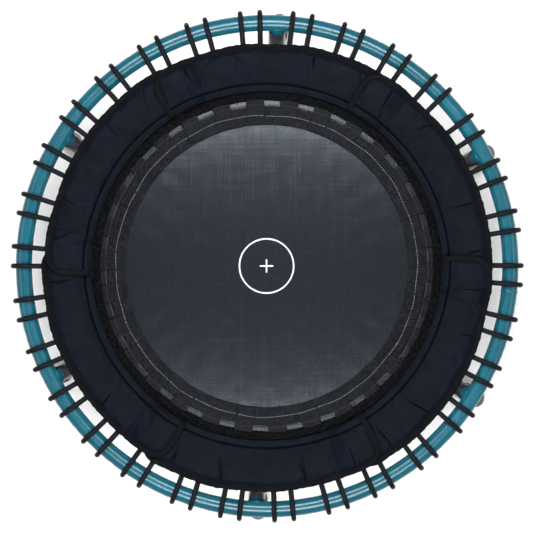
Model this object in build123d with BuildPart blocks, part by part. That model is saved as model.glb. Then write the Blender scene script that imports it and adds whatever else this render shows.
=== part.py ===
"""Round fitness trampoline: a one-piece tube ring on six arched legs, a woven mat
held by thirty elastic cords, and six padded skirt sections over the cords.

Millimetres, +Z up. The origin is on the floor, under the middle of the mat.
Azimuths are in degrees from +X towards +Y.
"""

import os
from math import asin, atan, cos, degrees, pi, radians, sin, sqrt, tan

from build123d import *

# ---------------------------------------------------------------- driving dimensions
# Ring
RING_OUTER_DIAMETER = 990.6
TUBE_DIAMETER = 31.75
TUBE_WALL = 1.6
RING_TOP = 323.9

# Legs
LEG_COUNT = 6
LEG_AZIMUTH = 27.5
LEG_DIAMETER = 32.0
LEG_WALL = 1.8
LEG_BEND_RADIUS = 98.0
LEG_MOUTH_DISTANCE = 20.0
LEG_TOP_SLOPE = 45.0
LEG_FOOT_SLOPE = 42.0
STUB_DIAMETER = 27.8
STUB_WALL = 2.0
STUB_LENGTH = 78.0
STUB_TO_RING_GAP = 0.05

# Feet
FOOT_RADIUS = 19.5
FOOT_REACH = 550.0
FOOT_CENTRE_HEIGHT = 13.0
FOOT_LENGTH = 46.0
FOOT_TO_LEG_GAP = 0.1
FOOT_RIM = 1.5
LEG_END_TO_FOOT_CENTRE = 4.0

# Leg fasteners (M8 through the leg and its stub)
BOLT_DISTANCE = 64.0
BOLT_DIAMETER = 8.0
BOLT_HOLE = 8.4
BOLT_HEAD_RADIUS = 6.6
BOLT_HEAD_HEIGHT = 3.3
BOLT_HEAD_CHAMFER = 1.2
BOLT_SOCKET_RADIUS = 2.5
BOLT_SOCKET_DEPTH = 2.2
BOLT_STICKS_OUT = 1.5
WASHER_RADIUS = 8.0
WASHER_THICKNESS = 1.4
NUT_ACROSS_FLATS = 13.0
NUT_HEIGHT = 6.5
NUT_BORE_GAP = 0.02

# Elastic cords
CORD_COUNT = 30
CORD_AZIMUTH = -2.0
CORD_RADIUS = 5.0
CORD_TO_RING_GAP = 0.15
STRAND_HALF_ANGLE = 2.2
UPPER_STRAND_SLOPE = 7.0
LOWER_STRAND_SLOPE = 6.5
POST_CENTRE = 368.0
CORD_END = 369.0

# Mat
MAT_RADIUS = 316.0
BED_BOTTOM = 306.0
BED_THICKNESS = 1.2
WEBBING = 1.5
BORDER_INNER = 278.0
BORDER_OUTER = 315.0
TAB_INNER = 281.0
TAB_OUTER = 344.8
TAB_WIDTH = 36.0
HOOP_INNER = 328.0
HOOP_OUTER = 348.0
RIM_INNER = 300.0
RIM_OUTER = 344.0
EDGE_GAP = 0.3
EDGE_WIDTH = 2.4

# Cord clips
CLIP_INNER = 339.0
CLIP_BAR_END = 343.0
CLIP_SLOT_END = 345.2
CLIP_NECK_END = 353.0
CLIP_OUTER = 384.0
CLIP_GAP = 0.3
CLIP_SLOT_WIDTH = 36.8
CLIP_NECK_WIDTH = 44.8
CLIP_BODY_WIDTH = 40.0
CLIP_CORNER = 1.6
POST_GAP = 0.35
POST_HEIGHT = 8.0
SOCKET_GAP = 0.1
SOCKET_BLOCK_INNER = 366.0
SOCKET_BLOCK_HEIGHT = 13.4

# Skirt sections
PAD_COUNT = 6
PAD_AZIMUTH = 28.6
PAD_HALF_ANGLE = 34.0
PAD_INNER = 342.0
PAD_OUTER = 441.0
PAD_CLEARANCE = 2.6
PAD_THICKNESS = 10.0
PAD_EDGE_THICKNESS = 5.0
PAD_SHOULDER = 14.0
PAD_LIFT = 11.2
PAD_STEP_START = 22.6
PAD_STEP_END = 25.6
PAD_CORNER = 34.0
BINDING_WIDTH = 10.0
BINDING_GAP = 0.2
COVER_THICKNESS = 0.9
FOAM_GAP = 0.2
PAD_ROOM = 60.0

# Skirt straps: elastic bands that close round both strands of a cord
STRAPPED_CORDS = (1, 2, 4)
STRAP_CENTRE = 408.0
STRAP_WIDTH = 15.0
STRAP_THICKNESS = 1.2
STRAP_GAP = 0.4
STRAP_FLAT = 0.01

# ---------------------------------------------------------------- worked-out places
TUBE_RADIUS = TUBE_DIAMETER / 2
RING_RADIUS = RING_OUTER_DIAMETER / 2 - TUBE_RADIUS
RING_Z = RING_TOP - TUBE_RADIUS
LEG_RADIUS = LEG_DIAMETER / 2

BED_TOP = BED_BOTTOM + BED_THICKNESS
BORDER_TOP = BED_TOP + WEBBING
BORDER_BOTTOM = BED_BOTTOM - WEBBING
TAB_TOP = BORDER_TOP + WEBBING
TAB_BOTTOM = BORDER_BOTTOM - WEBBING
HOOP_TOP = TAB_TOP + WEBBING
CLIP_TOP = BORDER_TOP - CLIP_GAP
CLIP_BOTTOM = BORDER_BOTTOM + CLIP_GAP

WRAP_RADIUS = TUBE_RADIUS + CORD_RADIUS + CORD_TO_RING_GAP
STRAND = radians(STRAND_HALF_ANGLE)
UPPER = radians(UPPER_STRAND_SLOPE)
LOWER = radians(LOWER_STRAND_SLOPE)

# Strands leave the wrap round the ring at these tangent points (radius, height)
UPPER_TANGENT = (RING_RADIUS - WRAP_RADIUS * sin(UPPER), RING_Z + WRAP_RADIUS * cos(UPPER))
LOWER_TANGENT = (RING_RADIUS - WRAP_RADIUS * sin(LOWER), RING_Z - WRAP_RADIUS * cos(LOWER))
# Both upper strands lie in one tilted plane, and the bight is an arc tangent to both.
# SLANT is a strand's length in that plane per unit of radius along the middle line.
SLANT = sqrt(cos(STRAND)**2 + tan(UPPER)**2)
PLANE_ANGLE = atan(sin(STRAND) / SLANT)
BIGHT_START = POST_CENTRE * cos(PLANE_ANGLE)**2
BIGHT_INNER = POST_CENTRE * (1 - sin(PLANE_ANGLE))
POST_RADIUS = POST_CENTRE * SLANT * sin(PLANE_ANGLE) - CORD_RADIUS - POST_GAP

FOOT_CENTRE = FOOT_REACH - FOOT_RADIUS
HEAD_SEAT = -(LEG_RADIUS + WASHER_THICKNESS)
NUT_SEAT = LEG_RADIUS + WASHER_THICKNESS
BOLT_END = NUT_SEAT + NUT_HEIGHT + BOLT_STICKS_OUT


def upper_height(radius):
    """Height of an upper strand's centre at a radius."""
    return UPPER_TANGENT[1] - (UPPER_TANGENT[0] - radius) * tan(UPPER)


def lower_height(radius):
    """Height of a lower strand's centre at a radius."""
    return LOWER_TANGENT[1] + (LOWER_TANGENT[0] - radius) * tan(LOWER)


def strand_point(radius, height, side):
    """A point in the upright plane of one strand; side is +1 or -1."""
    return (radius * cos(STRAND), side * radius * sin(STRAND), height)


def azimuths(count, first):
    """Evenly spaced azimuths, from the first one round the full circle."""
    return [first + 360 * index / count for index in range(count)]


def save(part, name):
    """Label a finished piece and write it as its node."""
    part.label = name
    export_step(part, f"parts/{name}.step")


def save_round(part, name, places):
    """Write one node per azimuth, numbered from 1."""
    for number, azimuth in enumerate(places, 1):
        save(part.rotate(Axis.Z, azimuth), f"{name}_{number}")


def save_group(part, name, places):
    """Write one node that holds a separate solid at each azimuth."""
    with BuildPart() as group:
        for azimuth in places:
            add(part.rotate(Axis.Z, azimuth))
    save(group.part, name)


os.makedirs("parts", exist_ok=True)
leg_places = azimuths(LEG_COUNT, LEG_AZIMUTH)
cord_places = azimuths(CORD_COUNT, CORD_AZIMUTH)
pad_places = azimuths(PAD_COUNT, PAD_AZIMUTH)

# ---------------------------------------------------------------- ring
with BuildPart() as frame_ring:
    with BuildSketch(Plane.XZ) as ring_section:
        with Locations((RING_RADIUS, RING_Z)):
            Circle(TUBE_RADIUS)
            Circle(TUBE_RADIUS - TUBE_WALL, mode=Mode.SUBTRACT)
    revolve(axis=Axis.Z)
save(frame_ring.part, "frame_ring")

# ---------------------------------------------------------------- legs
# The leg's centre line lies in an upright radial plane. From the ring's centre it goes
# inwards and down, turns through the bend, and comes back out to the foot.
top_way = Vector(-cos(radians(LEG_TOP_SLOPE)), 0, -sin(radians(LEG_TOP_SLOPE)))
foot_way = Vector(cos(radians(LEG_FOOT_SLOPE)), 0, -sin(radians(LEG_FOOT_SLOPE)))
ring_centre = Vector(RING_RADIUS, 0, RING_Z)
foot_centre = Vector(FOOT_CENTRE, 0, FOOT_CENTRE_HEIGHT)
leg_mouth = ring_centre + top_way * LEG_MOUTH_DISTANCE
bolt_centre = ring_centre + top_way * BOLT_DISTANCE
leg_end = foot_centre - foot_way * LEG_END_TO_FOOT_CENTRE

# The two straights meet, when carried on, at the bend's corner
corner_run = (
    (foot_centre.X - ring_centre.X) * foot_way.Z - (foot_centre.Z - ring_centre.Z) * foot_way.X
) / (top_way.X * foot_way.Z - top_way.Z * foot_way.X)
bend_corner = ring_centre + top_way * corner_run

leg_plane = Plane(origin=leg_mouth, x_dir=(0, 1, 0), z_dir=top_way)
bolt_plane = Plane(origin=bolt_centre, x_dir=top_way, z_dir=(0, 1, 0))

with BuildPart() as leg:
    with BuildLine() as leg_line:
        FilletPolyline(leg_mouth, bend_corner, leg_end, radius=LEG_BEND_RADIUS)
    with BuildSketch(leg_plane) as leg_section:
        Circle(LEG_RADIUS)
        Circle(LEG_RADIUS - LEG_WALL, mode=Mode.SUBTRACT)
    sweep(path=leg_line.wires()[0])
    with Locations(bolt_plane):
        Cylinder(BOLT_HOLE / 2, 2 * LEG_DIAMETER, mode=Mode.SUBTRACT)
save_round(leg.part, "leg", leg_places)

# Tube stub welded to the ring, with its upper end coped to the ring's tube
with BuildPart() as leg_stub:
    with BuildSketch(Plane(origin=ring_centre, x_dir=(0, 1, 0), z_dir=top_way)):
        Circle(STUB_DIAMETER / 2)
        Circle(STUB_DIAMETER / 2 - STUB_WALL, mode=Mode.SUBTRACT)
    extrude(amount=STUB_LENGTH)
    with BuildSketch(Plane.XZ):
        with Locations((RING_RADIUS, RING_Z)):
            Circle(TUBE_RADIUS + STUB_TO_RING_GAP)
    revolve(axis=Axis.Z, mode=Mode.SUBTRACT)
    with Locations(bolt_plane):
        Cylinder(BOLT_HOLE / 2, 2 * LEG_DIAMETER, mode=Mode.SUBTRACT)
save_round(leg_stub.part, "leg_stub", leg_places)

# ---------------------------------------------------------------- feet
# A rubber boot: a cup over the leg's end, domed at the tip and flat where it stands
boot_back = foot_centre - foot_way * FOOT_LENGTH
with BuildPart() as foot:
    with BuildSketch(Plane(origin=boot_back, x_dir=(0, 1, 0), z_dir=foot_way)):
        Circle(FOOT_RADIUS)
    extrude(amount=FOOT_LENGTH)
    back_face = foot.faces().filter_by(GeomType.PLANE).sort_by(Axis.Z)[-1]
    chamfer(back_face.edges(), FOOT_RIM)
    with Locations(foot_centre):
        Sphere(FOOT_RADIUS)
    with BuildSketch(Plane(origin=leg_end, x_dir=(0, 1, 0), z_dir=-foot_way)):
        Circle(LEG_RADIUS + FOOT_TO_LEG_GAP)
    extrude(amount=FOOT_LENGTH, mode=Mode.SUBTRACT)
    split(bisect_by=Plane.XY, keep=Keep.TOP)
save_round(foot.part, "foot", leg_places)

# ---------------------------------------------------------------- leg fasteners
# The bolt passes along the ring's direction, with its head on the -Y side
with BuildPart() as leg_bolt:
    with BuildSketch(bolt_plane.offset(HEAD_SEAT)):
        Circle(BOLT_HEAD_RADIUS)
    extrude(amount=-BOLT_HEAD_HEIGHT)
    chamfer(leg_bolt.edges().sort_by(Axis.Y)[0], BOLT_HEAD_CHAMFER)
    with BuildSketch(bolt_plane.offset(HEAD_SEAT)):
        Circle(BOLT_DIAMETER / 2)
    extrude(amount=BOLT_END - HEAD_SEAT)
    with BuildSketch(bolt_plane.offset(HEAD_SEAT - BOLT_HEAD_HEIGHT)):
        RegularPolygon(BOLT_SOCKET_RADIUS, 6, major_radius=False)
    extrude(amount=BOLT_SOCKET_DEPTH, mode=Mode.SUBTRACT)
save_group(leg_bolt.part, "leg_bolts", leg_places)

with BuildPart() as leg_washer_pair:
    for seat, way in ((HEAD_SEAT, 1), (NUT_SEAT, -1)):
        with BuildSketch(bolt_plane.offset(seat)):
            Circle(WASHER_RADIUS)
            Circle(BOLT_HOLE / 2, mode=Mode.SUBTRACT)
        extrude(amount=way * WASHER_THICKNESS)
save_group(leg_washer_pair.part, "leg_washers", leg_places)

with BuildPart() as leg_nut:
    with BuildSketch(bolt_plane.offset(NUT_SEAT)):
        RegularPolygon(NUT_ACROSS_FLATS / 2, 6, major_radius=False)
        Circle(BOLT_DIAMETER / 2 + NUT_BORE_GAP, mode=Mode.SUBTRACT)
    extrude(amount=NUT_HEIGHT)
save_group(leg_nut.part, "leg_nuts", leg_places)

# ---------------------------------------------------------------- elastic cords
# One cord: out of the clip's lower socket, under and round the ring, back over it,
# round the clip's post, and the same way back to the second socket.
with BuildPart() as cord:
    with BuildLine() as cord_line:
        for side in (1, -1):
            Line(
                strand_point(CORD_END, lower_height(CORD_END), side),
                strand_point(*LOWER_TANGENT, side),
            )
            ThreePointArc(
                strand_point(*LOWER_TANGENT, side),
                strand_point(RING_RADIUS + WRAP_RADIUS, RING_Z, side),
                strand_point(*UPPER_TANGENT, side),
            )
            Line(
                strand_point(*UPPER_TANGENT, side),
                strand_point(BIGHT_START, upper_height(BIGHT_START), side),
            )
        ThreePointArc(
            strand_point(BIGHT_START, upper_height(BIGHT_START), 1),
            strand_point(BIGHT_INNER, upper_height(BIGHT_INNER), 0),
            strand_point(BIGHT_START, upper_height(BIGHT_START), -1),
        )
    cord_wire = cord_line.wires()[0]
    with BuildSketch(Plane(origin=cord_wire @ 0, z_dir=cord_wire % 0)):
        Circle(CORD_RADIUS)
    sweep(path=cord_wire)
cord_tube_volume = pi * CORD_RADIUS**2 * cord_wire.length
print(f"cord length {cord_wire.length:.1f} mm")
print(f"cord volume over section times length {cord.part.volume / cord_tube_volume:.4f}")
print(f"post radius {POST_RADIUS:.2f} mm")

cords_per_node = CORD_COUNT // PAD_COUNT
for number in range(PAD_COUNT):
    first_cord = number * cords_per_node
    node_places = cord_places[first_cord:first_cord + cords_per_node]
    save_group(cord.part, f"elastic_cords_{number + 1}", node_places)

# ---------------------------------------------------------------- mat
for name, inner, outer, bottom in (
    ("mat_border_top", BORDER_INNER, BORDER_OUTER, BED_TOP),
    ("mat_border_back", BORDER_INNER, BORDER_OUTER, BORDER_BOTTOM),
    ("mat_hoop", HOOP_INNER, HOOP_OUTER, TAB_TOP),
    ("mat_rim", RIM_INNER, RIM_OUTER, TAB_BOTTOM - WEBBING),
):
    with BuildPart() as webbing_ring:
        with BuildSketch(Plane.XY.offset(bottom)):
            Circle(outer)
            Circle(inner, mode=Mode.SUBTRACT)
        extrude(amount=WEBBING)
    save(webbing_ring.part, name)

with BuildPart() as mat_bed:
    with BuildSketch(Plane.XY.offset(BED_BOTTOM)):
        Circle(MAT_RADIUS)
    extrude(amount=BED_THICKNESS)
save(mat_bed.part, "mat_bed")

with BuildPart() as mat_edge_binding:
    with BuildSketch(Plane.XZ):
        with Locations((MAT_RADIUS + EDGE_GAP + EDGE_WIDTH / 2, BED_BOTTOM + BED_THICKNESS / 2)):
            Rectangle(EDGE_WIDTH, EDGE_WIDTH)
    revolve(axis=Axis.Z)
save(mat_edge_binding.part, "mat_edge_binding")

# A tab is one strip of webbing: over the border, round the clip's bar and back under it
with BuildPart() as tab:
    with BuildSketch(Plane.XZ):
        with BuildLine():
            Polyline(
                (TAB_INNER, TAB_TOP),
                (TAB_OUTER, TAB_TOP),
                (TAB_OUTER, TAB_BOTTOM),
                (TAB_INNER, TAB_BOTTOM),
                (TAB_INNER, BORDER_BOTTOM),
                (TAB_OUTER - WEBBING, BORDER_BOTTOM),
                (TAB_OUTER - WEBBING, BORDER_TOP),
                (TAB_INNER, BORDER_TOP),
                close=True,
            )
        make_face()
    extrude(amount=TAB_WIDTH / 2, both=True)
save_group(tab.part, "mat_tabs", cord_places)

# ---------------------------------------------------------------- cord clips
# A slotted plate that hangs in the tab, with a post for the cord's bight on top and a
# block with two blind sockets for the cord's ends below.
with BuildPart() as clip:
    with BuildSketch(Plane.XY.offset(CLIP_BOTTOM)):
        with Locations(((CLIP_INNER + CLIP_NECK_END) / 2, 0)):
            RectangleRounded(CLIP_NECK_END - CLIP_INNER, CLIP_NECK_WIDTH, CLIP_CORNER)
        with Locations(((CLIP_SLOT_END + CLIP_OUTER) / 2, 0)):
            RectangleRounded(CLIP_OUTER - CLIP_SLOT_END, CLIP_BODY_WIDTH, CLIP_CORNER)
        with Locations(((CLIP_BAR_END + CLIP_SLOT_END) / 2, 0)):
            Rectangle(CLIP_SLOT_END - CLIP_BAR_END, CLIP_SLOT_WIDTH, mode=Mode.SUBTRACT)
    extrude(amount=CLIP_TOP - CLIP_BOTTOM)
    with BuildSketch(Plane.XY.offset(CLIP_TOP)):
        with Locations(strand_point(POST_CENTRE, 0, 0)):
            Circle(POST_RADIUS)
    extrude(amount=POST_HEIGHT)
    with BuildSketch(Plane.XY.offset(CLIP_BOTTOM)):
        with Locations(((SOCKET_BLOCK_INNER + CLIP_OUTER) / 2, 0)):
            RectangleRounded(CLIP_OUTER - SOCKET_BLOCK_INNER, CLIP_BODY_WIDTH, CLIP_CORNER)
    extrude(amount=-SOCKET_BLOCK_HEIGHT)
    for side in (1, -1):
        socket_end = Vector(*strand_point(CORD_END, lower_height(CORD_END), side))
        socket_way = Vector(*strand_point(*LOWER_TANGENT, side)) - socket_end
        with BuildSketch(Plane(origin=socket_end, z_dir=socket_way)):
            Circle(CORD_RADIUS + SOCKET_GAP)
        extrude(amount=CLIP_OUTER - SOCKET_BLOCK_INNER, mode=Mode.SUBTRACT)
save_group(clip.part, "cord_clips", cord_places)

# ---------------------------------------------------------------- skirt sections
# A section lies level on the cords, and its far end steps up over the next section.
def pad_bottom(radius):
    """Height of the underside of a section's level part."""
    return upper_height(radius) + CORD_RADIUS / cos(UPPER) + PAD_CLEARANCE


def pad_outline(inner, inset, start=-PAD_HALF_ANGLE, end=PAD_HALF_ANGLE):
    """A section's outline from above, or its stretch from start to end.

    inset moves the outer edge and the section's own two ends in.
    """
    arcs = []
    for radius in (inner, PAD_OUTER - inset):
        end_angle = PAD_HALF_ANGLE - degrees(asin(inset / radius))
        low = max(start, -end_angle)
        high = min(end, end_angle)
        arcs.append((radius, low, high - low))
    with BuildSketch(Plane.XY.offset(BED_BOTTOM)) as outline:
        with BuildLine():
            inner_arc, outer_arc = [CenterArc((0, 0), *arc) for arc in arcs]
            Line(inner_arc @ 0, outer_arc @ 0)
            Line(inner_arc @ 1, outer_arc @ 1)
        make_face()
        outer_corners = outline.vertices().group_by(SortBy.DISTANCE)[-1].sort_by(Axis.Y)
        if start == -PAD_HALF_ANGLE and end == PAD_HALF_ANGLE:
            fillet(outer_corners, PAD_CORNER - inset)
        elif start == -PAD_HALF_ANGLE:
            fillet(outer_corners[0], PAD_CORNER - inset)
        elif end == PAD_HALF_ANGLE:
            fillet(outer_corners[-1], PAD_CORNER - inset)
    return outline.sketch


def pad_stretch(outline, inner, outer, bottom_lift, top_lift, full):
    """The solid under a stretch of outline: a ring of tapered thickness, cut by it."""
    rim = (
        (inner, PAD_EDGE_THICKNESS),
        (inner + PAD_SHOULDER, full),
        (outer - PAD_SHOULDER, full),
        (outer, PAD_EDGE_THICKNESS),
    )
    top = [(radius, pad_bottom(radius) + top_lift + thick) for radius, thick in rim]
    with BuildPart() as stretch:
        with BuildSketch(Plane.XZ):
            with BuildLine():
                Polyline(
                    *top,
                    (outer, pad_bottom(outer) + bottom_lift),
                    (inner, pad_bottom(inner) + bottom_lift),
                    close=True,
                )
            make_face()
        revolve(axis=Axis.Z)
        extrude(outline, amount=PAD_ROOM, mode=Mode.INTERSECT)
    return stretch.part


def pad_layer(inset, shrink, full):
    """One layer of a section: the level part, the step and the raised end.

    inset moves the outer edge and both ends in, shrink moves every face in, and full
    is the thickness away from the edges.
    """
    inner = PAD_INNER + shrink
    outer = PAD_OUTER - inset - shrink
    turn = degrees(asin(shrink / inner))
    step_start = PAD_STEP_START + turn
    step_end = PAD_STEP_END - turn
    stretches = (
        (-PAD_HALF_ANGLE, step_end, 0, 0),
        (step_start, step_end, 0, PAD_LIFT),
        (step_start, PAD_HALF_ANGLE, PAD_LIFT, PAD_LIFT),
    )
    with BuildPart() as layer:
        for start, end, bottom_lift, top_lift in stretches:
            outline = pad_outline(inner, inset + shrink, start, end)
            add(pad_stretch(outline, inner, outer, bottom_lift + shrink, top_lift - shrink, full))
    return layer.part


cover_inset = BINDING_WIDTH + BINDING_GAP
with BuildPart() as pad_cover:
    add(pad_layer(cover_inset, 0, PAD_THICKNESS))
    add(pad_layer(cover_inset, COVER_THICKNESS, PAD_THICKNESS), mode=Mode.SUBTRACT)
save_round(pad_cover.part, "pad_cover", pad_places)

with BuildPart() as pad_foam:
    add(pad_layer(cover_inset, COVER_THICKNESS + FOAM_GAP, PAD_THICKNESS))
save_round(pad_foam.part, "pad_foam", pad_places)

# The binding is a folded strip along the outer edge and both ends
with BuildPart() as pad_binding:
    add(pad_layer(0, 0, PAD_EDGE_THICKNESS))
    extrude(
        pad_outline(PAD_INNER - BINDING_WIDTH, BINDING_WIDTH),
        amount=PAD_ROOM,
        mode=Mode.SUBTRACT,
    )
save_round(pad_binding.part, "pad_binding", pad_places)

# ---------------------------------------------------------------- skirt straps
strap_half_width = STRAP_CENTRE * sin(STRAND) + CORD_RADIUS + STRAP_GAP
strap_half_height = CORD_RADIUS + STRAP_GAP
strap_middle = Vector(*strand_point(STRAP_CENTRE, upper_height(STRAP_CENTRE), 0))
strap_way = Vector(cos(UPPER), 0, sin(UPPER))
with BuildPart() as strap:
    with BuildSketch(Plane(origin=strap_middle, x_dir=(0, 1, 0), z_dir=strap_way)):
        RectangleRounded(
            2 * (strap_half_width + STRAP_THICKNESS),
            2 * (strap_half_height + STRAP_THICKNESS),
            strap_half_height + STRAP_THICKNESS - STRAP_FLAT,
        )
        RectangleRounded(
            2 * strap_half_width,
            2 * strap_half_height,
            strap_half_height - STRAP_FLAT,
            mode=Mode.SUBTRACT,
        )
    extrude(amount=STRAP_WIDTH / 2, both=True)
strap_places = [
    place for index, place in enumerate(cord_places) if index % cords_per_node in STRAPPED_CORDS
]
save_group(strap.part, "skirt_straps", strap_places)
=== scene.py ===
from math import atan, cos, degrees, pi, radians, sin, sqrt, tan

import bmesh
import bpy
import numpy as np
from mathutils import Matrix, Vector
from mathutils.bvhtree import BVHTree


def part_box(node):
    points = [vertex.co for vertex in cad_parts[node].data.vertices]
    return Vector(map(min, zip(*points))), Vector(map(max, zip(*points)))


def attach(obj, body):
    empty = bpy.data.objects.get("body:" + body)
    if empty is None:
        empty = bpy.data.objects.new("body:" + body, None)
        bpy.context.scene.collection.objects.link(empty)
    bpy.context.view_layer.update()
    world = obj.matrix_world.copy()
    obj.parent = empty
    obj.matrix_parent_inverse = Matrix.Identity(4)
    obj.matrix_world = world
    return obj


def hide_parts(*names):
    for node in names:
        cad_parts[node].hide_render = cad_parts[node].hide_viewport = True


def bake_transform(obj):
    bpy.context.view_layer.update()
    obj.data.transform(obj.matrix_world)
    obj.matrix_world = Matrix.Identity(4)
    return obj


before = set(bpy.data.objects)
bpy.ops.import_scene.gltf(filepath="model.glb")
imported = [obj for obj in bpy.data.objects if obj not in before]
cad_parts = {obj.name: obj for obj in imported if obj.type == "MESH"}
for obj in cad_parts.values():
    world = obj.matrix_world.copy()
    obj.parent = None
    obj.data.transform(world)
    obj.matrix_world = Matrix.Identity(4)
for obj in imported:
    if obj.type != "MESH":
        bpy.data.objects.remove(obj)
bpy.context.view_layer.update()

# The trampoline's looks. The mat, webbing, cords, padded skirt, feet and welds are made
# here; the ring, stubs, legs, clips and fasteners are CAD nodes with real finishes.
# Metres, +Z up, azimuths in degrees from +X towards +Y.

scene = bpy.context.scene
rng = np.random.default_rng(20)


# ---------------------------------------------------------------- places from the frame
def coordinates(mesh):
    points = np.empty(3 * len(mesh.vertices))
    mesh.vertices.foreach_get("co", points)
    return points.reshape(-1, 3)


def radial_span(node):
    """The least and greatest distance of a CAD node's points from the upright middle axis."""
    x, y, _ = coordinates(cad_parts[node].data).T
    radius = np.hypot(x, y)
    return radius.min(), radius.max()


ring_low, ring_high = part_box("frame_ring")
TUBE_RADIUS = (ring_high[2] - ring_low[2]) / 2
RING_RADIUS = ring_high[0] - TUBE_RADIUS
RING_Z = (ring_high[2] + ring_low[2]) / 2
BED_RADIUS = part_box("mat_bed")[1][0]
BED_BOTTOM, BED_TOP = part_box("mat_bed")[0][2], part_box("mat_bed")[1][2]
BORDER_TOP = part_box("mat_border_top")[1][2]
BORDER_INNER, BORDER_OUTER = radial_span("mat_border_top")
TAB_BOTTOM, TAB_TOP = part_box("mat_tabs")[0][2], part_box("mat_tabs")[1][2]
TAB_INNER, TAB_OUTER = radial_span("mat_tabs")
HOOP_INNER, HOOP_OUTER = radial_span("mat_hoop")
HOOP_BOTTOM, HOOP_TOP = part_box("mat_hoop")[0][2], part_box("mat_hoop")[1][2]
EDGE_INNER, EDGE_OUTER = radial_span("mat_edge_binding")
CLIP_OUTER = radial_span("cord_clips")[1]
PAD_INNER, PAD_OUTER = radial_span("pad_binding_1")
FOOT_OUTER = radial_span("foot_1")[1]

# Design values shared with the CAD model
LEG_AZIMUTHS = [27.5 + 60 * index for index in range(6)]
CORD_AZIMUTHS = [-2.0 + 12 * index for index in range(30)]
PAD_AZIMUTHS = [28.6 + 60 * index for index in range(6)]
CORD_RADIUS = 0.005
WRAP_RADIUS = TUBE_RADIUS + CORD_RADIUS + 0.00015
STRAND_ANGLE = radians(2.2)
UPPER_SLOPE = radians(7.0)
LOWER_SLOPE = radians(6.5)
POST_CENTRE = 0.368
CORD_END = 0.369
TAB_WIDTH = 0.036
STUB_RADIUS = 0.0139
STUB_SLOPE = radians(45)
FOOT_SLOPE = radians(42)
FOOT_RADIUS = 0.0195
FOOT_LENGTH = 0.046
FOOT_CENTRE_Z = 0.013
STRAPPED_CORDS = (1, 2, 4)
STRAP_CENTRE = 0.408
PAD_HALF_ANGLE = 34.0
PAD_LIFT = 0.0112
PAD_CORNER = 0.034

# The scene's own values. Angles along a skirt section are degrees from its middle.
RING_WELD_AZIMUTH = -6.0
STRAP_HALF_WIDTH = 0.0076
STRAP_THICKNESS = 0.0012
STRAP_SIDES = 28
PAD_END = 33.3
PAD_RISE = (20.2, 26.2)
PAD_EDGE = 0.4385
PAD_DRIFT = 0.0038
PAD_DRIFT_AZIMUTH = radians(-55.0)
EDGE_TILT = 0.0030
SEAM_RADIUS = 0.357
SEAM_SHARE = 0.149
DARTS = (-24.3, -11.3, 11.6, 24.6)
WALL_LIGHT, CEILING_LIGHT = 0.62, 0.05
UP = np.array((0, 0, 1.0))
HEXAGON = [2 * pi * step / 6 for step in range(6)]
# How far each cord has slid round the ring (radians), and how much its strands splay
CORD_SLIDES = np.clip(rng.normal(0, 0.006, 30), -0.010, 0.010)
CORD_SPLAYS = rng.uniform(-0.02, 0.03, 30)

UPPER_TANGENT = RING_RADIUS - WRAP_RADIUS * sin(UPPER_SLOPE)
LOWER_TANGENT = RING_RADIUS - WRAP_RADIUS * sin(LOWER_SLOPE)


def upper_height(radius):
    """Height of an upper strand's centre at a radius."""
    return RING_Z + WRAP_RADIUS * cos(UPPER_SLOPE) - (UPPER_TANGENT - radius) * tan(UPPER_SLOPE)


def lower_height(radius):
    """Height of a lower strand's centre at a radius."""
    return RING_Z - WRAP_RADIUS * cos(LOWER_SLOPE) + (LOWER_TANGENT - radius) * tan(LOWER_SLOPE)


def directions(azimuth):
    """Level unit vectors at an azimuth in radians: outwards, and round the middle axis."""
    return np.array((cos(azimuth), sin(azimuth), 0)), np.array((-sin(azimuth), cos(azimuth), 0))


def whole_turn(steps):
    return np.linspace(0, 2 * pi, steps, endpoint=False)


def smooth(value, low, high):
    """0 below low, 1 above high, and a smooth ramp between."""
    share = np.clip((value - low) / (high - low), 0, 1)
    return share * share * (3 - 2 * share)


def polar(radius, azimuth, height):
    """Points from radius, azimuth in radians and height, as rows."""
    radius, azimuth, height = np.broadcast_arrays(radius, azimuth, height)
    return np.stack([radius * np.cos(azimuth), radius * np.sin(azimuth), height], axis=-1)


# ---------------------------------------------------------------- camera, lights, floor
def aim(thing, target):
    """Turns a light or the camera to look at target, with +Y as its upward side."""
    back = (thing.location - Vector(target)).normalized()
    right = Vector((0, 1, 0)).cross(back).normalized()
    turned = Matrix((right, back.cross(right), back)).transposed()
    thing.rotation_euler = turned.to_euler()


def make_camera():
    data = bpy.data.cameras.new("camera")
    data.sensor_width = 36.0
    data.lens = 98.1
    camera = bpy.data.objects.new("camera", data)
    camera.location = (0.047, -0.014, 3.17)
    scene.collection.objects.link(camera)
    aim(camera, (0.0, -0.0011, RING_Z))
    scene.camera = camera


def soft_box(name, place, target, size, power):
    data = bpy.data.lights.new(name, "AREA")
    data.shape = "RECTANGLE"
    data.size, data.size_y = size
    data.energy = power
    light = bpy.data.objects.new(name, data)
    light.location = place
    scene.collection.objects.link(light)
    aim(light, target)


def make_surroundings():
    """Pale studio walls that darken towards the ceiling."""
    world = bpy.data.worlds.new("studio")
    world.use_nodes = True
    tree = world.node_tree
    background = tree.nodes["Background"]
    background.inputs["Color"].default_value = (0.93, 0.965, 1.0, 1)
    split = tree.nodes.new("ShaderNodeSeparateXYZ")
    strength = tree.nodes.new("ShaderNodeMapRange")
    ends = (("From Min", 0.0), ("From Max", 0.85), ("To Min", WALL_LIGHT), ("To Max", CEILING_LIGHT))
    for key, number in ends:
        strength.inputs[key].default_value = number
    tree.links.new(tree.nodes.new("ShaderNodeTexCoord").outputs["Generated"], split.inputs[0])
    tree.links.new(split.outputs[2], strength.inputs["Value"])
    tree.links.new(strength.outputs["Result"], background.inputs["Strength"])
    return world


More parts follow.
